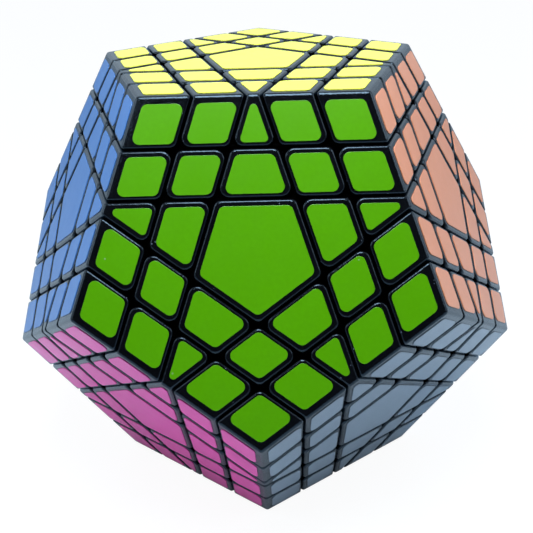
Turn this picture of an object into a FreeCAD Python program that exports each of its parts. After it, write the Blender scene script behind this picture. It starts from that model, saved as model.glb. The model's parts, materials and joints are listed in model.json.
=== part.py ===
import FreeCAD, Part
import itertools
import math
import os

# Five-layer dodecahedron twisty puzzle, in millimetres, +Z up, origin at the puzzle's centre.
#
# Every piece between the central ball and the outer faces is cut by the same kind of surface:
# planes square to a face's axis and spheres about the centre. All of these are surfaces of
# revolution about that axis, so any layer turns freely. The planes move inwards at three
# spherical steps, so each piece grows a foot that reaches under its neighbours:
# corners hook under wings, wings and middle edges under the centre pieces, those under the caps,
# and the caps sit on spindles that a spring-loaded screw holds to the core.

V = FreeCAD.Vector

SIZES = [
    # alias, value, what it is
    ("edge_length", 46.0, "edge of the dodecahedron"),
    ("outer_cut", 10.66, "first cut line, measured in a face from its side"),
    ("second_cut", 20.75, "second cut line, measured in a face from its side"),
    ("piece_gap", 0.36, "clearance between neighbouring pieces"),
    ("face_step_radius", 53.8, "sphere below which the first cut plane moves in to the neck"),
    ("neck_step_radius", 51.8, "sphere below which the first cut plane moves in to the foot"),
    ("cap_step_radius", 49.0, "sphere under the caps, above the tongues of the trapezoids"),
    ("ball_radius", 46.0, "sphere that the feet slide on"),
    ("neck_height", 40.0, "first cut plane in the neck zone, from the centre"),
    ("foot_height", 36.0, "first cut plane in the foot zone, from the centre"),
    ("tongue_height", 29.0, "second cut plane under the caps, from the centre"),
    ("edge_round", 0.5, "rounding of the pieces' outer edges along the cuts"),
    ("ridge_round", 0.9, "rounding of the edges between two outer faces"),
    ("corner_round", 1.6, "corner radius of the pieces, seen square to a face"),
    ("small_corner_round", 1.4, "the same, on the middle edges"),
    ("sticker_thickness", 0.15, "vinyl sticker"),
    ("sticker_inset", 1.18, "from a cut line to the sticker's edge"),
    ("sticker_margin", 1.55, "from the dodecahedron's edge to the sticker's edge"),
    ("sticker_corner", 1.3, "corner radius of the stickers"),
    ("small_corner", 0.8, "corner radius of the middle edges' small stickers"),
    ("plug_radius", 3.2, "cap's plug in the spindle"),
    ("plug_bottom", 46.9, "end of the cap's plug, from the centre"),
    ("pocket_radius", 3.6, "spring pocket in the spindle"),
    ("pocket_floor", 36.6, "floor of the spring pocket, from the centre"),
    ("spindle_bottom", 34.6, "inner end of the spindle, from the centre"),
    ("spindle_top", 48.3, "outer end of the spindle, from the centre"),
    ("tube_radius", 5.5, "spindle's tube under the flange"),
    ("stalk_radius", 7.2, "spindle's stalk above the flange"),
    ("flange_inner", 42.3, "sphere under the spindle's flange"),
    ("flange_rim", 40.6, "plane of the flange's rim, from the centre"),
    ("screw_clearance", 1.7, "radius of the screw's hole through the spindle"),
    ("core_ball", 13.0, "ball that joins the twelve arms"),
    ("arm_radius", 4.5, "core arm"),
    ("arm_length", 34.3, "core arm, from the centre"),
    ("pilot_radius", 1.5, "threaded hole in the arm"),
    ("pilot_bottom", 20.0, "bottom of the threaded hole, from the centre"),
    ("screw_radius", 1.5, "M3 shank"),
    ("screw_tip", 21.5, "end of the screw, from the centre"),
    ("head_radius", 3.0, "screw head"),
    ("head_bottom", 43.8, "underside of the screw head, from the centre"),
    ("head_height", 2.2, "screw head"),
    ("cross_width", 0.9, "cross recess of the screw"),
    ("cross_length", 3.2, "cross recess of the screw"),
    ("cross_depth", 1.3, "cross recess of the screw"),
    ("spring_radius", 2.45, "mean radius of the spring"),
    ("spring_wire", 0.3, "radius of the spring's wire"),
    ("spring_pitch", 1.6, "pitch of the spring"),
    ("spring_start", 37.0, "lower end of the spring's centre line, from the centre"),
    ("spring_length", 6.4, "length of the spring's centre line"),
]

SPRING_WIRE_SIDES = 8

COLOURS = ["yellow", "green", "orange", "purple", "white", "blue",
           "dark_green", "red", "pink", "grey", "light_blue", "cream"]

doc = FreeCAD.newDocument("dodecahedron_puzzle")

sheet = doc.addObject("Spreadsheet::Sheet", "sizes")
for row, (alias, value, note) in enumerate(SIZES, start=1):
    sheet.set(f"A{row}", note)
    sheet.set(f"B{row}", str(value))
    sheet.setAlias(f"B{row}", alias)
doc.recompute()


def size(alias):
    """Value of a driving dimension, read from the sheet."""
    return float(sheet.get(alias))


# ---------------------------------------------------------------- the dodecahedron's geometry

TILT = math.atan(2.0)                      # angle between the axes of neighbouring faces
UPPER_RING = range(1, 6)
TOP, BOTTOM = 0, 11


def face_normals():
    """Top face, five faces round it from the front one on, and their opposites."""
    normals = [V(0, 0, 1)]
    for step in range(5):
        azimuth = math.radians(-90 + 72 * step)
        normals.append(V(math.sin(TILT) * math.cos(azimuth),
                         math.sin(TILT) * math.sin(azimuth),
                         math.cos(TILT)))
    normals += [normals[ring] * -1 for ring in UPPER_RING]
    normals.append(V(0, 0, -1))
    return normals


def are_neighbours(first, second):
    """Whether the axes of two faces stand at the angle between neighbouring faces."""
    return abs(first.dot(second) - math.cos(TILT)) < TINY


TINY = 1e-3
NORMALS = face_normals()
NEIGHBOURS = [[other for other in range(12) if are_neighbours(NORMALS[face], NORMALS[other])]
              for face in range(12)]

IN_RADIUS = size("edge_length") * 0.5 * math.sqrt(2.5 + 1.1 * math.sqrt(5))
FACE_IN_RADIUS = size("edge_length") * 0.5 / math.tan(math.radians(36))
SIDE_DEPTH = math.sin(TILT)                # depth under a neighbour's face, per mm in the face

FIRST_PLANE = IN_RADIUS - SIDE_DEPTH * size("outer_cut")
SECOND_PLANE = IN_RADIUS - SIDE_DEPTH * size("second_cut")

HALF_GAP = size("piece_gap") / 2
FAR = 2 * size("edge_length")              # beyond every face
DEEP = 12.0                                # longer than any upright edge
CLEAR = 2.0                                # how far a cutting tool stands outside what it cuts
PLUG_OVERLAP = 1.0                         # the plug ends this far under the cap's face


def meet(planes):
    """Point where three planes meet, each given as (unit normal, distance from the centre)."""
    (a, da), (b, db), (c, dc) = planes
    return (b.cross(c) * da + c.cross(a) * db + a.cross(b) * dc) * (1 / a.dot(b.cross(c)))


def frame(face, neighbour):
    """Rotation that carries +Z to a face's axis and +X to the direction of one neighbour."""
    axis = NORMALS[face]
    across = NORMALS[neighbour] - axis * NORMALS[neighbour].dot(axis)
    return FreeCAD.Rotation(across, axis.cross(across), axis, "ZXY")


MASTER_FRAME = frame(0, 1)
TURNS = [frame(face, neighbour) * MASTER_FRAME.inverted()
         for face in range(12) for neighbour in NEIGHBOURS[face]]
ONE_TURN_PER_FACE = TURNS[::5]


def carried(face, turn):
    """Number of the face that a turn carries the given face to."""
    axis = turn.multVec(NORMALS[face])
    return max(range(12), key=lambda other: NORMALS[other].dot(axis))


def dodecahedron():
    """Solid dodecahedron, one polygon per face."""
    polygons = []
    for face in range(12):
        ring = sorted(NEIGHBOURS[face], key=lambda other: heading(face, other))
        corners = [meet([(NORMALS[number], IN_RADIUS) for number in (face, ring[k - 1], ring[k])])
                   for k in range(5)]
        polygons.append(Part.Face(Part.makePolygon(corners + corners[:1])))
    return Part.makeSolid(Part.makeShell(polygons))


def heading(face, other):
    """Angle of a neighbour about a face's axis."""
    local = frame(face, NEIGHBOURS[face][0]).inverted().multVec(NORMALS[other])
    return math.atan2(local.y, local.x)


# ---------------------------------------------------------------- layers and pieces

def slab(height):
    """Everything above a plane square to +Z."""
    return Part.makeCylinder(FAR, FAR, V(0, 0, height))


def cap_of_ball(radius, height):
    """Part of a ball above a plane square to +Z."""
    return Part.makeSphere(radius, V(), V(0, 0, 1), math.degrees(math.asin(height / radius)), 90)


def outer_layer(offset):
    """Region of the top face's outer layer, moved inwards from its cut surfaces by an offset."""
    return slab(FIRST_PLANE + offset).fuse([
        cap_of_ball(size("face_step_radius") - offset, size("neck_height") + offset),
        cap_of_ball(size("neck_step_radius") - offset, size("foot_height") + offset)]).removeSplitter()


def two_layers(offset):
    """Region of the top face's outer and second layers together, moved inwards by an offset."""
    return slab(SECOND_PLANE + offset).fuse(
        cap_of_ball(size("cap_step_radius") - offset, size("tongue_height") + offset)).removeSplitter()


def placed(shape, turn):
    """Copy of a shape, turned about the centre."""
    copy = shape.copy()
    copy.Placement = FreeCAD.Placement(V(), turn) * shape.Placement
    return copy


def at_face(shape, face):
    """Copy of a shape made about +Z, carried to a face's axis."""
    return placed(shape, FreeCAD.Rotation(V(0, 0, 1), NORMALS[face]))


# Each kind of piece, by the layers of the faces that it lies in: 2 outer layer, 1 second layer.
PIECES = {
    "corners": {0: 2, 1: 2, 2: 2},
    "wing_edges": {0: 2, 1: 2, 2: 1},
    "middle_edges": {0: 2, 1: 2},
    "x_centres": {0: 2, 1: 1, 2: 1},
    "t_centres": {0: 2, 1: 1},
    "caps": {0: 2},
}


def side_planes(levels, face):
    """Planes that bound a piece beside one of its outer faces.

    Each is (neighbour, unit normal into the piece, distance from the centre, step sphere's radius).
    """
    first_step = size("face_step_radius") - HALF_GAP
    second_step = size("cap_step_radius") + HALF_GAP
    planes = []
    for neighbour in NEIGHBOURS[face]:
        normal = NORMALS[neighbour]
        level = levels.get(neighbour, 0)
        if level == 2:
            planes.append((neighbour, normal, FIRST_PLANE + HALF_GAP, first_step))
        if level == 1:
            planes.append((neighbour, normal, SECOND_PLANE + HALF_GAP, second_step))
            planes.append((neighbour, normal * -1, HALF_GAP - FIRST_PLANE, first_step))
        if level == 0:
            planes.append((neighbour, normal * -1, HALF_GAP - SECOND_PLANE, second_step))
    return planes


def corner_cutter(face, first, second, radius):
    """What rounding the upright edge between two side planes takes away, down to the step sphere."""
    _, normal_a, distance_a, step_a = first
    _, normal_b, distance_b, step_b = second
    upright = normal_a.cross(normal_b).normalize()
    if upright.dot(NORMALS[face]) < 0:
        upright = upright * -1
    above = meet([(normal_a, distance_a), (normal_b, distance_b), (NORMALS[face], IN_RADIUS + CLEAR)])
    along_a = (normal_b - normal_a * normal_a.dot(normal_b)).normalize()
    along_b = (normal_a - normal_b * normal_a.dot(normal_b)).normalize()
    half_angle = along_a.getAngle(along_b) / 2
    inwards = (along_a + along_b).normalize()
    touch_a = above + along_a * (radius / math.tan(half_angle))
    touch_b = above + along_b * (radius / math.tan(half_angle))
    outwards = inwards * -CLEAR
    outline = [touch_a, touch_b, touch_b + outwards, above + outwards, touch_a + outwards, touch_a]
    wedge = Part.Face(Part.makePolygon(outline)).extrude(upright * -DEEP)
    axis = above + inwards * (radius / math.sin(half_angle))
    return wedge.cut([Part.makeCylinder(radius, DEEP, axis, upright * -1),
                      Part.makeSphere(max(step_a, step_b))])


def rounded_corners(block, levels, radius):
    """Rounds the upright edges beside each outer face of a piece."""
    corners = [vertex.Point for vertex in block.Vertexes]
    for face in [face for face, level in levels.items() if level == 2]:
        for first, second in itertools.combinations(side_planes(levels, face), 2):
            if first[0] == second[0]:
                continue
            corner = meet([first[1:3], second[1:3], (NORMALS[face], IN_RADIUS)])
            if any(corner.distanceToPoint(known) < TINY for known in corners):
                block = block.cut(corner_cutter(face, first, second, radius))
    return block.removeSplitter().Solids[0]


def is_outer(face):
    """Whether a face of a piece lies in one of the puzzle's twelve faces."""
    on_outside = any(abs(face.CenterOfMass.dot(axis) - IN_RADIUS) < TINY for axis in NORMALS)
    return on_outside and isinstance(face.Surface, Part.Plane)


def rounded_outside(kind, block):
    """Rounds the edges round the block's outer faces, more where two of these meet."""
    outer_faces = [face for face in block.Faces if is_outer(face)]
    radius_for = {1: size("edge_round"), 2: size("ridge_round")}
    radii = []
    for number, edge in enumerate(block.Edges, start=1):
        count = sum(any(edge.isSame(side) for side in face.Edges) for face in outer_faces)
        if count:
            radii.append((number, radius_for[count], radius_for[count]))
    blank = doc.addObject("Part::Feature", f"{kind}_blank")
    blank.Shape = block
    rounding = doc.addObject("Part::Fillet", f"{kind}_rounding")
    rounding.Base = blank
    rounding.Edges = radii
    doc.recompute()
    return rounding.Shape


def piece(kind, levels):
    """One cubie, with its foot, in the orientation of its levels."""
    inner = "cap_step_radius" if levels == PIECES["caps"] else "ball_radius"
    block = dodecahedron()
    for face, level in levels.items():
        layer = outer_layer(HALF_GAP) if level == 2 else two_layers(HALF_GAP)
        block = block.common(at_face(layer, face))
    neighbours = {other for face, level in levels.items() if level == 2 for other in NEIGHBOURS[face]}
    cutters = [at_face(outer_layer(-HALF_GAP), face) for face, level in levels.items() if level == 1]
    cutters += [at_face(two_layers(-HALF_GAP), face) for face in sorted(neighbours - set(levels))]
    cutters.append(Part.makeSphere(size(inner) + HALF_GAP))
    for cutter in cutters:
        block = block.cut(cutter)
    radius = size("small_corner_round" if levels == PIECES["middle_edges"] else "corner_round")
    return rounded_outside(kind, rounded_corners(block.removeSplitter().Solids[0], levels, radius))


def cap_with_plug(cap):
    """Cap with the round plug that clips into the spindle."""
    plug = Part.makeCylinder(size("plug_radius"), IN_RADIUS - PLUG_OVERLAP - size("plug_bottom"),
                             V(0, 0, size("plug_bottom")))
    return cap.fuse(plug).removeSplitter()


# ---------------------------------------------------------------- stickers

def in_face(first, first_inset, second, second_inset):
    """Point of the top face at given insets from two of its sides."""
    sides = [(first, first_inset), (second, second_inset)]
    planes = [(NORMALS[0], IN_RADIUS)]
    planes += [(NORMALS[side], IN_RADIUS - SIDE_DEPTH * inset) for side, inset in sides]
    return meet(planes)


def rounded_sheet(corners, radius, thickness):
    """Flat sheet on the top face, its outline a polygon with rounded corners."""
    sides = []
    starts = []
    for before, corner, after in zip(corners[-1:] + corners, corners, corners[1:] + corners[:1]):
        back = (before - corner).normalize()
        ahead = (after - corner).normalize()
        half_angle = back.getAngle(ahead) / 2
        reach = radius / math.tan(half_angle)
        bisector = (back + ahead).normalize()
        middle = corner + bisector * (radius / math.sin(half_angle) - radius)
        sides.append(Part.Arc(corner + back * reach, middle, corner + ahead * reach).toShape())
        starts.append((corner + back * reach, corner + ahead * reach))
    outline = []
    for arc, (_, leave), (enter, _) in zip(sides, starts, starts[1:] + starts[:1]):
        outline += [arc, Part.makeLine(leave, enter)]
    return Part.Face(Part.Wire(outline)).extrude(V(0, 0, thickness))


def sticker_outlines():
    """Outline of each sticker kind on the top face, with the levels of the piece it is on."""
    edge = size("sticker_margin")
    first_out = size("outer_cut") - size("sticker_inset")
    first_in = size("outer_cut") + size("sticker_inset")
    second_out = size("second_cut") - size("sticker_inset")
    second_in = size("second_cut") + size("sticker_inset")

    def block(side, side_from, side_to, other, other_from, other_to):
        return [in_face(side, side_from, other, other_from), in_face(side, side_to, other, other_from),
                in_face(side, side_to, other, other_to), in_face(side, side_from, other, other_to)]

    ring = [1, 2, 3, 4, 5]
    return [
        (PIECES["corners"], block(1, edge, first_out, 2, edge, first_out)),
        (PIECES["wing_edges"], block(1, edge, first_out, 2, first_in, second_out)),
        ({0: 2, 1: 2, 5: 1}, block(1, edge, first_out, 5, first_in, second_out)),
        (PIECES["middle_edges"], [in_face(2, second_in, 5, second_in), in_face(1, first_out, 5, second_in),
                                  in_face(1, first_out, 2, second_in)]),
        (PIECES["x_centres"], block(1, first_in, second_out, 2, first_in, second_out)),
        (PIECES["t_centres"], [in_face(1, first_in, 2, second_in), in_face(1, second_out, 2, second_in),
                               in_face(1, second_out, 5, second_in), in_face(1, first_in, 5, second_in)]),
        (PIECES["caps"], [in_face(side, second_in, side % 5 + 1, second_in) for side in ring]),
    ]


# ---------------------------------------------------------------- layers that turn together

def layer_name(levels, turn):
    """Layer of the vertical axis that holds a piece, after a turn."""
    landed = {carried(face, turn): level for face, level in levels.items()}
    names = {(TOP, 2): "top_layer", (TOP, 1): "second_layer",
             (BOTTOM, 1): "fourth_layer", (BOTTOM, 2): "bottom_layer"}
    for face in (TOP, BOTTOM):
        if landed.get(face):
            return names[(face, landed[face])]
    return "middle_layer"


def distinct_turns(levels):
    """Turns that carry a piece to different places, one for each place."""
    places = {}
    for turn in TURNS:
        landed = frozenset((carried(face, turn), level) for face, level in levels.items())
        places.setdefault(landed, turn)
    return list(places.values())


def add_group(label, shapes):
    """Document object that holds the copies of one piece in one layer."""
    group = doc.addObject("Part::Feature", label)
    group.Label = label
    group.Shape = Part.makeCompound(shapes)
    group.Placement = FreeCAD.Placement()
    return group


def add_pieces():
    """One object for each kind of cubie in each layer."""
    groups = {}
    for kind, levels in PIECES.items():
        master = piece(kind, levels)
        if kind == "caps":
            master = cap_with_plug(master)
        print(kind, "volume", round(master.Volume, 1), "faces", len(master.Faces), master.isValid())
        for turn in distinct_turns(levels):
            label = f"{kind}_{layer_name(levels, turn)}"
            groups.setdefault(label, []).append(placed(master, turn))
    return [add_group(label, shapes) for label, shapes in groups.items()]


def add_stickers():
    """One object for the stickers of each colour in each layer."""
    groups = {}
    for levels, outline in sticker_outlines():
        corner = "small_corner" if levels == PIECES["middle_edges"] else "sticker_corner"
        master = rounded_sheet(outline, size(corner), size("sticker_thickness"))
        turns = TURNS if len(levels) > 1 else ONE_TURN_PER_FACE
        for turn in turns:
            label = f"stickers_{layer_name(levels, turn)}_{COLOURS[carried(0, turn)]}"
            groups.setdefault(label, []).append(placed(master, turn))
    return [add_group(label, shapes) for label, shapes in sorted(groups.items())]


# ---------------------------------------------------------------- core, spindles, screws, springs

def bind(thing, **expressions):
    """Binds properties of an object to cells of the sheet."""
    for name, expression in expressions.items():
        thing.setExpression(name, expression)


def cylinder(name, radius, start, end):
    """Cylinder on +Z from one distance from the centre to another, bound to the sheet."""
    thing = doc.addObject("Part::Cylinder", name)
    bind(thing, Radius=f"sizes.{radius}", Height=f"sizes.{end} - sizes.{start}" if start else f"sizes.{end}")
    if start:
        thing.setExpression("Placement.Base.z", f"sizes.{start}")
    return thing


def ball(name, radius, lower_latitude=None):
    """Ball about the centre, or its part above a latitude."""
    thing = doc.addObject("Part::Sphere", name)
    bind(thing, Radius=radius)
    if lower_latitude:
        bind(thing, Angle1=lower_latitude)
    return thing


def join(name, things):
    """Fusion of document objects."""
    fusion = doc.addObject("Part::MultiFuse", name)
    fusion.Shapes = things
    fusion.Refine = True
    return fusion


def subtract(name, base, tool):
    """Difference of two document objects."""
    difference = doc.addObject("Part::Cut", name)
    difference.Base = base
    difference.Tool = tool
    difference.Refine = True
    return difference


def face_turns():
    """Turns from +Z to each face's axis."""
    return [FreeCAD.Rotation(V(0, 0, 1), axis) for axis in NORMALS]


def add_core():
    """Ball with twelve arms, each with a threaded hole for its screw."""
    solid_parts = [ball("core_centre", "sizes.core_ball")]
    holes = []
    for number, turn in enumerate(face_turns()):
        arm = cylinder(f"core_arm_{number}", "arm_radius", None, "arm_length")
        arm.Placement = FreeCAD.Placement(V(), turn)
        solid_parts.append(arm)
        hole = cylinder(f"core_hole_{number}", "pilot_radius", None, "arm_length")
        hole.setExpression("Height", "sizes.arm_length - sizes.pilot_bottom")
        hole.Placement = FreeCAD.Placement(turn.multVec(V(0, 0, size("pilot_bottom"))), turn)
        holes.append(hole)
    core = subtract("core", join("core_spider", solid_parts), join("core_holes", holes))
    core.Label = "core"
    return core


def spindle_master():
    """Round post of a face's centre: tube, spherical flange, stalk, and the spring's pocket."""
    sphere = ball("spindle_ball", "sizes.ball_radius - sizes.piece_gap / 2",
                  "asin(sizes.flange_rim / (sizes.ball_radius - sizes.piece_gap / 2))")
    hollow = ball("spindle_hollow", "sizes.flange_inner")
    flange = subtract("spindle_flange", sphere, hollow)
    tube = cylinder("spindle_tube", "tube_radius", "spindle_bottom", "ball_radius")
    stalk = cylinder("spindle_stalk", "stalk_radius", "flange_inner", "spindle_top")
    pocket = cylinder("spindle_pocket", "pocket_radius", "pocket_floor", "spindle_top")
    bore = cylinder("spindle_bore", "screw_clearance", "spindle_bottom", "spindle_top")
    body = join("spindle_body", [flange, tube, stalk])
    return subtract("spindle", body, join("spindle_bores", [pocket, bore]))


def screw_master():
    """M3 pan-head screw with a cross recess."""
    shank = cylinder("screw_shank", "screw_radius", "screw_tip", "head_bottom")
    head = doc.addObject("Part::Cylinder", "screw_head")
    bind(head, Radius="sizes.head_radius", Height="sizes.head_height")
    head.setExpression("Placement.Base.z", "sizes.head_bottom")
    slots = []
    for name, along, across in [("x", "cross_length", "cross_width"), ("y", "cross_width", "cross_length")]:
        slot = doc.addObject("Part::Box", f"screw_slot_{name}")
        bind(slot, Length=f"sizes.{along}", Width=f"sizes.{across}", Height="sizes.cross_depth")
        slot.setExpression("Placement.Base.x", f"-sizes.{along} / 2")
        slot.setExpression("Placement.Base.y", f"-sizes.{across} / 2")
        slot.setExpression("Placement.Base.z", "sizes.head_bottom + sizes.head_height - sizes.cross_depth")
        slots.append(slot)
    return subtract("screw", join("screw_blank", [shank, head]), join("screw_recess", slots))


def spring_master():
    """Compression spring round the screw, its wire drawn with eight flats."""
    coil = doc.addObject("Part::Helix", "spring_line")
    bind(coil, Radius="sizes.spring_radius", Pitch="sizes.spring_pitch", Height="sizes.spring_length")
    coil.setExpression("Placement.Base.z", "sizes.spring_start")
    wire = doc.addObject("Part::RegularPolygon", "spring_section")
    wire.Polygon = SPRING_WIRE_SIDES
    bind(wire, Circumradius="sizes.spring_wire")
    wire.Placement = FreeCAD.Placement(V(), FreeCAD.Rotation(V(1, 0, 0), 90))
    wire.setExpression("Placement.Base.x", "sizes.spring_radius")
    wire.setExpression("Placement.Base.z", "sizes.spring_start")
    doc.recompute()
    spring = doc.addObject("Part::Sweep", "spring")
    spring.Sections = [wire]
    spring.Spine = (coil, ["Edge1"])
    spring.Solid = True
    spring.Frenet = True
    return spring


def add_hardware():
    """The core, and the twelve copies of spindle, screw and spring on the faces' axes."""
    made = [add_core()]
    masters = [("spindles", spindle_master()), ("screws", screw_master()), ("springs", spring_master())]
    doc.recompute()
    for label, master in masters:
        solid = master.Shape.Solids[0]
        made.append(add_group(label, [placed(solid, turn) for turn in face_turns()]))
    return made


# ---------------------------------------------------------------- build, check, write

sub_parts = add_pieces() + add_stickers() + add_hardware()
doc.recompute()

for thing in doc.Objects:
    if {"Invalid", "Error"} & set(thing.State):
        raise RuntimeError(f"{thing.Name} failed: {thing.State}")
for part in sub_parts:
    if part.Shape.isNull() or not part.Shape.isValid():
        raise RuntimeError(f"{part.Label} has no valid shape")

os.makedirs("parts", exist_ok=True)
for part in sub_parts:
    part.Shape.exportStep(f"parts/{part.Label}.step")
print(len(sub_parts), "parts,", sum(len(part.Shape.Solids) for part in sub_parts), "solids")
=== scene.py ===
import json
import math

import bmesh
import bpy
from mathutils import Matrix, Vector, noise

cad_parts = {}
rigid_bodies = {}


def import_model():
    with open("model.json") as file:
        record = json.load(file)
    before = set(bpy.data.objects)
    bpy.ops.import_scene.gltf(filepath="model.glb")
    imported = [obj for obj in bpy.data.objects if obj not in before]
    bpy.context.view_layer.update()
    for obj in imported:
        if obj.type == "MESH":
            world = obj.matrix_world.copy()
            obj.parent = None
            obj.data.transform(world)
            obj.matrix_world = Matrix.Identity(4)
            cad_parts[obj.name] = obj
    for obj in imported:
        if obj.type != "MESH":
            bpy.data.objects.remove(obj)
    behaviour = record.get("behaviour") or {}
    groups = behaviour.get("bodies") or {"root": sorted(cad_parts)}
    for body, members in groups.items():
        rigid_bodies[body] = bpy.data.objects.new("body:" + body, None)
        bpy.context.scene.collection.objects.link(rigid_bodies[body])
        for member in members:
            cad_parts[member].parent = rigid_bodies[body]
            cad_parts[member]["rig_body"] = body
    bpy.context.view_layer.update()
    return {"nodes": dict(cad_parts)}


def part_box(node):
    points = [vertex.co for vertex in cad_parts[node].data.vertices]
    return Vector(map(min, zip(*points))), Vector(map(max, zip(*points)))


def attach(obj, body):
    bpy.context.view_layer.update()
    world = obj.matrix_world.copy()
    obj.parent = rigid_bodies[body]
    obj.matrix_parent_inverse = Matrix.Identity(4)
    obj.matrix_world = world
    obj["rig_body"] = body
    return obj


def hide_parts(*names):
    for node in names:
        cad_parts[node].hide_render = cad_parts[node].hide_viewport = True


# Five-layer dodecahedron twisty puzzle. The cubies, core, spindles, screws and springs are the CAD
# nodes with plastic and metal materials. The vinyl stickers are made here from the CAD nodes that
# hold their places. All lengths are in metres.

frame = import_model()

MM = 0.001
IN_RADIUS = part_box("caps_top_layer")[1].z    # from the centre to the plastic of a face
FLOOR_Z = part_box("stickers_bottom_layer_cream")[0].z

# Directions of six faces; the other six are opposite.
TILT = math.atan(2.0)
FACE_NORMALS = [Vector((0, 0, 1))] + [
    Vector((math.sin(TILT) * math.cos(math.radians(-90 + 72 * step)),
            math.sin(TILT) * math.sin(math.radians(-90 + 72 * step)),
            math.cos(TILT))) for step in range(5)]

# Sticker colours, linear. The faces that are out of sight follow the usual colour scheme.
STICKER_COLOURS = {
    "yellow": (0.83, 0.80, 0.076),
    "green": (0.081, 0.312, 0.0),
    "orange": (0.74, 0.275, 0.14),
    "purple": (0.115, 0.025, 0.290),
    "white": (0.80, 0.81, 0.80),
    "blue": (0.060, 0.180, 0.47),
    "dark_green": (0.004, 0.115, 0.030),
    "red": (0.52, 0.010, 0.016),
    "pink": (0.95, 0.092, 0.415),
    "grey": (0.24, 0.285, 0.34),
    "light_blue": (0.13, 0.42, 0.72),
    "cream": (0.83, 0.77, 0.42),
}


# ---------------------------------------------------------------- shader helpers

def new_material(name):
    """Material with a Principled shader; returns both."""
    material = bpy.data.materials.new(name)
    material.use_nodes = True
    return material, material.node_tree.nodes["Principled BSDF"]


def link(material, source, target):
    material.node_tree.links.new(source, target)


def scaled(colour, factor):
    return tuple(channel * factor for channel in colour)


def object_noise(material, scale, detail=2.0, roughness=0.5):
    """Noise fixed to the piece, its scale in features per metre."""
    nodes = material.node_tree.nodes
    place = nodes.new("ShaderNodeTexCoord")
    texture = nodes.new("ShaderNodeTexNoise")
    texture.inputs["Scale"].default_value = scale
    texture.inputs["Detail"].default_value = detail
    texture.inputs["Roughness"].default_value = roughness
    link(material, place.outputs["Object"], texture.inputs["Vector"])
    return texture.outputs["Fac"]


NOISE_LOW = 0.3                      # most of a noise texture's values lie between these two
NOISE_HIGH = 0.7


def spread(material, value, low, high, from_low=NOISE_LOW, from_high=NOISE_HIGH):
    """Maps a noise value, or another range, to the range from low to high."""
    ramp = material.node_tree.nodes.new("ShaderNodeMapRange")
    ramp.inputs["From Min"].default_value = from_low
    ramp.inputs["From Max"].default_value = from_high
    ramp.inputs["To Min"].default_value = low
    ramp.inputs["To Max"].default_value = high
    link(material, value, ramp.inputs["Value"])
    return ramp.outputs["Result"]


def add_bump(material, shader, layers):
    """Chain of bumps, each a height value, a depth in metres and a strength."""
    normal = None
    for height, depth, strength in layers:
        bump = material.node_tree.nodes.new("ShaderNodeBump")
        bump.inputs["Distance"].default_value = depth
        bump.inputs["Strength"].default_value = strength
        link(material, height, bump.inputs["Height"])
        if normal is not None:
            link(material, normal, bump.inputs["Normal"])
        normal = bump.outputs["Normal"]
    link(material, normal, shader.inputs["Normal"])


def specks(material, scale, share, size):
    """Round dots in this share of the cells: 1 on a dot and 0 off it; size is per cell."""
    nodes = material.node_tree.nodes
    place = nodes.new("ShaderNodeTexCoord")
    cells = nodes.new("ShaderNodeTexVoronoi")
    cells.inputs["Scale"].default_value = scale
    link(material, place.outputs["Object"], cells.inputs["Vector"])
    near = nodes.new("ShaderNodeMath")
    near.operation = "LESS_THAN"
    near.inputs[1].default_value = size
    link(material, cells.outputs["Distance"], near.inputs[0])
    chosen = nodes.new("ShaderNodeSeparateColor")
    link(material, cells.outputs["Color"], chosen.inputs["Color"])
    some = nodes.new("ShaderNodeMath")
    some.operation = "LESS_THAN"
    some.inputs[1].default_value = share
    link(material, chosen.outputs["Red"], some.inputs[0])
    both = nodes.new("ShaderNodeMath")
    both.operation = "MULTIPLY"
    link(material, near.outputs[0], both.inputs[0])
    link(material, some.outputs[0], both.inputs[1])
    return both.outputs[0]


def mix_value(material, factor, first, second):
    """Goes from the first value, a socket, to the second, a number, with the factor."""
    mix = material.node_tree.nodes.new("ShaderNodeMix")
    link(material, factor, mix.inputs["Factor"])
    link(material, first, mix.inputs["A"])
    mix.inputs["B"].default_value = second
    return mix.outputs["Result"]


def mix_colour(material, factor, first, second):
    """Colour that goes from the first to the second with the factor; either may be a socket."""
    mix = material.node_tree.nodes.new("ShaderNodeMix")
    mix.data_type = "RGBA"
    link(material, factor, mix.inputs["Factor"])
    for socket, colour in ((mix.inputs["A"], first), (mix.inputs["B"], second)):
        if isinstance(colour, tuple):
            socket.default_value = (*colour, 1.0)
        else:
            link(material, colour, socket)
    return mix.outputs["Result"]


def depth_below_faces(material):
    """Distance of a point under the nearest face plane, in the solved puzzle's place."""
    nodes = material.node_tree.nodes
    place = nodes.new("ShaderNodeTexCoord")
    farthest = None
    for normal in FACE_NORMALS:
        along = nodes.new("ShaderNodeVectorMath")
        along.operation = "DOT_PRODUCT"
        along.inputs[1].default_value = normal
        link(material, place.outputs["Object"], along.inputs[0])
        either_way = nodes.new("ShaderNodeMath")
        either_way.operation = "ABSOLUTE"
        link(material, along.outputs["Value"], either_way.inputs[0])
        if farthest is None:
            farthest = either_way.outputs[0]
            continue
        larger = nodes.new("ShaderNodeMath")
        larger.operation = "MAXIMUM"
        link(material, farthest, larger.inputs[0])
        link(material, either_way.outputs[0], larger.inputs[1])
        farthest = larger.outputs[0]
    depth = nodes.new("ShaderNodeMath")
    depth.operation = "SUBTRACT"
    depth.inputs[0].default_value = IN_RADIUS
    link(material, farthest, depth.inputs[1])
    return depth.outputs[0]


# ---------------------------------------------------------------- materials

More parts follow.
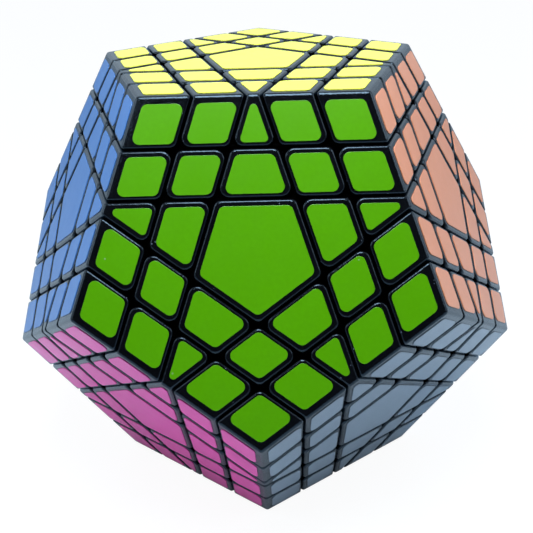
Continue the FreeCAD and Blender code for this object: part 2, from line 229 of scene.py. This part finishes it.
POLISH_ENDS = 0.25 * MM              # depth at which the polish fades out on the way into a gap
WALL_STARTS = 0.60 * MM              # depth from which the walls swallow light
BLACK = (0.0018, 0.0019, 0.0028)
BLACK_GRIMY = (0.0034, 0.0038, 0.0050)
DUST = (0.10, 0.12, 0.16)
POLISHED = (0.06, 0.22)              # roughness outside, from untouched to handled
WALL_ROUGHNESS = 0.4
COOL_GLOSS = (0.55, 0.78, 1.0)
MOULD_GRAIN = 0.045 * MM             # depths of the moulded surface's fine and slow unevenness
MOULD_WAVES = 0.04 * MM


def black_plastic():
    """Black ABS: polished and handled outside, matte in the gaps with painted shade on their
    walls, with a little grime and dust.
    """
    material, shader = new_material("black_plastic")
    # Mask of the gap walls: matte roughness there, and through the metallic a painted shade that
    # keeps the gaps black.
    inside = spread(material, depth_below_faces(material), 0.0, 1.0, POLISH_ENDS, WALL_STARTS)
    grime = spread(material, object_noise(material, 90, 4.0, 0.6), 0.0, 1.0)
    dust = specks(material, 1500, 0.02, 0.20)
    colour = mix_colour(material, dust, mix_colour(material, grime, BLACK, BLACK_GRIMY), DUST)
    link(material, colour, shader.inputs["Base Color"])
    polish = spread(material, object_noise(material, 1500, 3.0, 0.6), *POLISHED)
    roughness = mix_value(material, inside, polish, WALL_ROUGHNESS)
    link(material, roughness, shader.inputs["Roughness"])
    # Painted shade in the gaps: with a near-black colour, metal mirrors nothing but the flattest
    # rays, so the walls stay as dark as a deep gap's shade.
    link(material, inside, shader.inputs["Metallic"])
    add_bump(material, shader, [(object_noise(material, 2400, 3.0), MOULD_GRAIN, 1.0),
                                (object_noise(material, 300, 2.0), MOULD_WAVES, 0.25)])
    shader.inputs["Specular Tint"].default_value = (*COOL_GLOSS, 1.0)
    shader.inputs["IOR"].default_value = 1.47
    return material


SATIN = (0.28, 0.32)                 # roughness of the vinyl, from rubbed spots to untouched ones
VINYL_GRAIN = 0.01 * MM              # depth of the grain


def vinyl(name, colour):
    """Satin sticker vinyl: fine grain, a slow drift of tone, a few specks and rubbed spots."""
    material, shader = new_material("vinyl_" + name)
    drift = spread(material, object_noise(material, 60, 2.0), 0.0, 1.0)
    tone = mix_colour(material, drift, scaled(colour, 0.95), colour)
    grain = object_noise(material, 1300, 1.0)
    grained = mix_colour(material, spread(material, grain, 0.6, 0.0), tone, scaled(colour, 0.90))
    dust = specks(material, 700, 0.006, 0.16)
    dusty = tuple(0.7 * channel + 0.12 for channel in colour)
    link(material, mix_colour(material, dust, grained, dusty), shader.inputs["Base Color"])
    rubbed = object_noise(material, 320, 3.0, 0.65)
    link(material, spread(material, rubbed, *SATIN), shader.inputs["Roughness"])
    add_bump(material, shader, [(grain, VINYL_GRAIN, 0.10)])
    shader.inputs["IOR"].default_value = 1.40
    return material


def inner_plastic(name, colour, roughness):
    """Unpolished engineering plastic of the parts inside."""
    material, shader = new_material(name)
    cloudy = object_noise(material, 150, 3.0)
    clouded = mix_colour(material, cloudy, colour, scaled(colour, 1.35))
    link(material, clouded, shader.inputs["Base Color"])
    uneven = spread(material, cloudy, roughness - 0.06, roughness + 0.08)
    link(material, uneven, shader.inputs["Roughness"])
    add_bump(material, shader, [(object_noise(material, 2500, 2.0), 0.02 * MM, 0.4)])
    return material


def metal(name, colour, roughness, grain_scale):
    """Plated or drawn steel with a fine grain."""
    material, shader = new_material(name)
    grain = object_noise(material, grain_scale, 4.0, 0.7)
    grained = mix_colour(material, grain, scaled(colour, 0.8), colour)
    link(material, grained, shader.inputs["Base Color"])
    uneven = spread(material, grain, roughness - 0.08, roughness + 0.1)
    link(material, uneven, shader.inputs["Roughness"])
    add_bump(material, shader, [(grain, 0.01 * MM, 0.3)])
    shader.inputs["Metallic"].default_value = 1.0
    return material


def give(piece, material):
    """Makes a material the piece's only one."""
    piece.data.materials.clear()
    piece.data.materials.append(material)


CUBIES = ("corners", "wing_edges", "middle_edges", "x_centres", "t_centres", "caps")

plastic = black_plastic()
for name, node in frame["nodes"].items():
    if name.startswith(CUBIES):
        give(node, plastic)
give(frame["nodes"]["core"], inner_plastic("core_plastic", (0.030, 0.030, 0.034), 0.45))
give(frame["nodes"]["spindles"], inner_plastic("spindle_plastic", (0.016, 0.016, 0.018), 0.35))
give(frame["nodes"]["screws"], metal("screw_steel", (0.62, 0.63, 0.66), 0.30, 1800))
give(frame["nodes"]["springs"], metal("spring_steel", (0.66, 0.66, 0.68), 0.25, 2600))


# ---------------------------------------------------------------- stickers

STICKER_EDGE = 0.05 * MM             # rounding of the die-cut edge
STICKER_EDGE_STEPS = 2
HAND_SHIFT = 0.05 * MM               # stickers are laid by hand
HAND_TURN = math.radians(0.5)
SHIFT_NOISE = 500                    # noise scales that tell neighbouring stickers apart
TURN_NOISE = 700
NOISE_STEPS = [Vector((40 * axis, 0, 0)) for axis in range(3)]    # one noise value per axis
WELD = 0.002 * MM
FLAT_ANGLE = math.radians(1)         # faces that meet at less than this are one flat face
FLAT_AREA = 6 * MM ** 2              # a sticker's own face is larger, its edge's faces are smaller
SHARP = math.radians(40)


def islands(mesh):
    """Groups of connected faces of a bmesh, in the order of its faces."""
    found = set()
    for first in mesh.faces:
        if first in found:
            continue
        found.add(first)
        group = [first]
        for face in group:               # the group grows while it is gone through
            for edge in face.edges:
                for other in edge.link_faces:
                    if other not in found:
                        found.add(other)
                        group.append(other)
        yield group


def lay_sticker(faces, outer):
    """Shifts and turns one sticker a little in its own plane; the same amount on every run."""
    normal = outer.normal.copy()
    centre = outer.calc_center_median()
    whim = Vector([noise.noise(centre * SHIFT_NOISE + step) for step in NOISE_STEPS])
    shift = (whim - normal * whim.dot(normal)) * HAND_SHIFT
    turn = Matrix.Rotation(noise.noise(centre * TURN_NOISE) * HAND_TURN, 3, normal)
    for point in {vertex for face in faces for vertex in face.verts}:
        point.co = centre + turn @ (point.co - centre) + shift


def add_stickers(name, colour):
    """Stickers of one colour in one layer, on the places of the CAD node, with eased edges."""
    node = frame["nodes"][name]
    mesh = bmesh.new()
    mesh.from_mesh(node.data)
    bmesh.ops.remove_doubles(mesh, verts=mesh.verts, dist=WELD)
    bmesh.ops.dissolve_limit(mesh, angle_limit=FLAT_ANGLE, verts=mesh.verts, edges=mesh.edges)
    bmesh.ops.recalc_face_normals(mesh, faces=mesh.faces)
    mesh.normal_update()
    rims = []
    for faces in list(islands(mesh)):
        outer = max(faces, key=lambda face: face.calc_center_median().dot(face.normal))
        lay_sticker(faces, outer)
        rims += list(outer.edges)
    bmesh.ops.bevel(mesh, geom=rims, offset=STICKER_EDGE, segments=STICKER_EDGE_STEPS,
                    profile=0.5, affect="EDGES", clamp_overlap=True)
    for face in mesh.faces:
        face.smooth = face.calc_area() < FLAT_AREA
    for edge in mesh.edges:
        edge.smooth = edge.calc_face_angle(0.0) < SHARP
    data = bpy.data.meshes.new(name + "_vinyl")
    mesh.to_mesh(data)
    mesh.free()
    piece = bpy.data.objects.new(name + "_vinyl", data)
    bpy.context.scene.collection.objects.link(piece)
    data.attributes.remove(data.attributes["custom_normal"])
    give(piece, VINYLS[colour])
    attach(piece, node["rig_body"])
    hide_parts(name)


VINYLS = {colour: vinyl(colour, value) for colour, value in STICKER_COLOURS.items()}
for name in sorted(frame["nodes"]):
    if name.startswith("stickers_"):
        add_stickers(name, name.split("_layer_")[1])


# ---------------------------------------------------------------- camera

CAMERA_AZIMUTH = math.radians(1.533)
CAMERA_ELEVATION = math.radians(26.453)
CAMERA_ROLL = math.radians(-1.948)
CAMERA_DISTANCE = 3.978 * IN_RADIUS
CAMERA_AIM = (0.016, -0.057)         # point aimed at, right and up of the centre, per IN_RADIUS
CAMERA_LENS = 52.35                  # millimetres, like the sensor
CAMERA_SENSOR = 36.0


def add_camera():
    """Camera at the viewing angle, slightly rolled and aimed a little below the centre."""
    back = Vector((math.sin(CAMERA_AZIMUTH) * math.cos(CAMERA_ELEVATION),
                   -math.cos(CAMERA_AZIMUTH) * math.cos(CAMERA_ELEVATION),
                   math.sin(CAMERA_ELEVATION)))
    right = Vector((math.cos(CAMERA_AZIMUTH), math.sin(CAMERA_AZIMUTH), 0.0))
    up = back.cross(right)
    place = back * CAMERA_DISTANCE
    target = (right * CAMERA_AIM[0] + up * CAMERA_AIM[1]) * IN_RADIUS
    ahead = (target - place).normalized()
    side = ahead.cross(up).normalized()
    over = side.cross(ahead)
    rolled_side = side * math.cos(CAMERA_ROLL) + over * math.sin(CAMERA_ROLL)
    rolled_over = rolled_side.cross(ahead)
    axes = Matrix((rolled_side, rolled_over, -ahead)).transposed()
    data = bpy.data.cameras.new("camera")
    data.lens = CAMERA_LENS
    data.sensor_width = CAMERA_SENSOR
    data.clip_start = 0.01
    camera = bpy.data.objects.new("camera", data)
    camera.matrix_world = Matrix.Translation(place) @ axes.to_4x4()
    bpy.context.scene.collection.objects.link(camera)
    bpy.context.scene.camera = camera


add_camera()


# ---------------------------------------------------------------- floor and light

SURROUND = (0.66, 0.83, 1.0)         # cool white of the surround, as the plastic mirrors it
SURROUND_BRIGHT = 0.95
SURROUND_DARK = 0.012                # round the viewer the room is unlit
HORIZON = (0.975, 0.988, 0.999)      # as the far floor shows, so that no edge is seen there
VIEWER_STARTS = -0.05                # cosines between which the surround darkens to the viewer
VIEWER_FULL = 0.85
FLOOR_COLOUR = (0.72, 0.81, 0.88)
FLOOR_GLOW = 0.86                    # how far the floor shows as plain white, not shaded
FLOOR_WHITE = 1.085                  # strength of that white
FLOOR_HALF = 6.0


def add_floor():
    """Plain pale floor, far wider than the puzzle, with its shadows kept light."""
    mesh = bmesh.new()
    bmesh.ops.create_grid(mesh, x_segments=1, y_segments=1, size=FLOOR_HALF)
    data = bpy.data.meshes.new("floor")
    mesh.to_mesh(data)
    mesh.free()
    floor = bpy.data.objects.new("floor", data)
    floor.location.z = FLOOR_Z
    bpy.context.scene.collection.objects.link(floor)
    material, shader = new_material("floor")
    nodes = material.node_tree.nodes
    shader.inputs["Base Color"].default_value = (*FLOOR_COLOUR, 1.0)
    shader.inputs["Roughness"].default_value = 0.9
    shader.inputs["Specular IOR Level"].default_value = 0.0
    glow = nodes.new("ShaderNodeEmission")
    glow.inputs["Color"].default_value = (1.0, 1.0, 1.0, 1.0)
    glow.inputs["Strength"].default_value = FLOOR_WHITE
    path = nodes.new("ShaderNodeLightPath")
    seen = nodes.new("ShaderNodeMath")
    seen.operation = "MULTIPLY"
    seen.inputs[1].default_value = FLOOR_GLOW
    link(material, path.outputs["Is Camera Ray"], seen.inputs[0])
    blend = nodes.new("ShaderNodeMixShader")
    link(material, seen.outputs[0], blend.inputs["Fac"])
    link(material, shader.outputs["BSDF"], blend.inputs[1])
    link(material, glow.outputs["Emission"], blend.inputs[2])
    link(material, blend.outputs["Shader"], nodes["Material Output"].inputs["Surface"])
    data.materials.append(material)


def add_softbox(name, place, size, power, colour):
    """Square area light that faces the puzzle."""
    data = bpy.data.lights.new(name, "AREA")
    data.size = size
    data.energy = power
    data.color = colour
    light = bpy.data.objects.new(name, data)
    light.location = place
    light.rotation_mode = "QUATERNION"
    light.rotation_quaternion = (-Vector(place)).to_track_quat("-Z", "Y")
    bpy.context.scene.collection.objects.link(light)


def add_world():
    """Pale surround, darker round the viewer; the camera itself sees the far floor's white."""
    world = bpy.data.worlds.new("surround")
    world.use_nodes = True
    bpy.context.scene.world = world
    nodes = world.node_tree.nodes
    links = world.node_tree.links
    background = nodes["Background"]
    place = nodes.new("ShaderNodeTexCoord")
    towards = nodes.new("ShaderNodeVectorMath")
    towards.operation = "DOT_PRODUCT"
    viewer = (0.0, -math.cos(CAMERA_ELEVATION), math.sin(CAMERA_ELEVATION))
    towards.inputs[1].default_value = viewer
    links.new(place.outputs["Generated"], towards.inputs[0])
    shade = nodes.new("ShaderNodeMapRange")
    shade.interpolation_type = "SMOOTHSTEP"
    shade.inputs["From Min"].default_value = VIEWER_STARTS
    shade.inputs["From Max"].default_value = VIEWER_FULL
    shade.inputs["To Min"].default_value = SURROUND_BRIGHT
    shade.inputs["To Max"].default_value = SURROUND_DARK
    links.new(towards.outputs["Value"], shade.inputs["Value"])
    background.inputs["Color"].default_value = (*SURROUND, 1.0)
    links.new(shade.outputs["Result"], background.inputs["Strength"])
    plain = nodes.new("ShaderNodeBackground")
    plain.inputs["Color"].default_value = (*HORIZON, 1.0)
    path = nodes.new("ShaderNodeLightPath")
    blend = nodes.new("ShaderNodeMixShader")
    links.new(path.outputs["Is Camera Ray"], blend.inputs["Fac"])
    links.new(background.outputs["Background"], blend.inputs[1])
    links.new(plain.outputs["Background"], blend.inputs[2])
    links.new(blend.outputs["Shader"], nodes["World Output"].inputs["Surface"])


DAYLIGHT = (0.84, 0.93, 1.0)
SIDE_LIGHT = (0.92, 0.96, 1.0)

add_floor()
add_softbox("key_softbox", (0.0, -0.09, 0.235), 0.12, 0.75, DAYLIGHT)
add_softbox("glint_softbox", (-0.125, -0.27, 0.27), 0.014, 0.03, DAYLIGHT)
add_softbox("left_softbox", (-0.50, -0.10, 0.34), 0.35, 0.9, SIDE_LIGHT)
add_softbox("right_softbox", (0.50, -0.10, 0.34), 0.35, 0.9, SIDE_LIGHT)
add_world()
bpy.context.scene.view_settings.view_transform = "Standard"
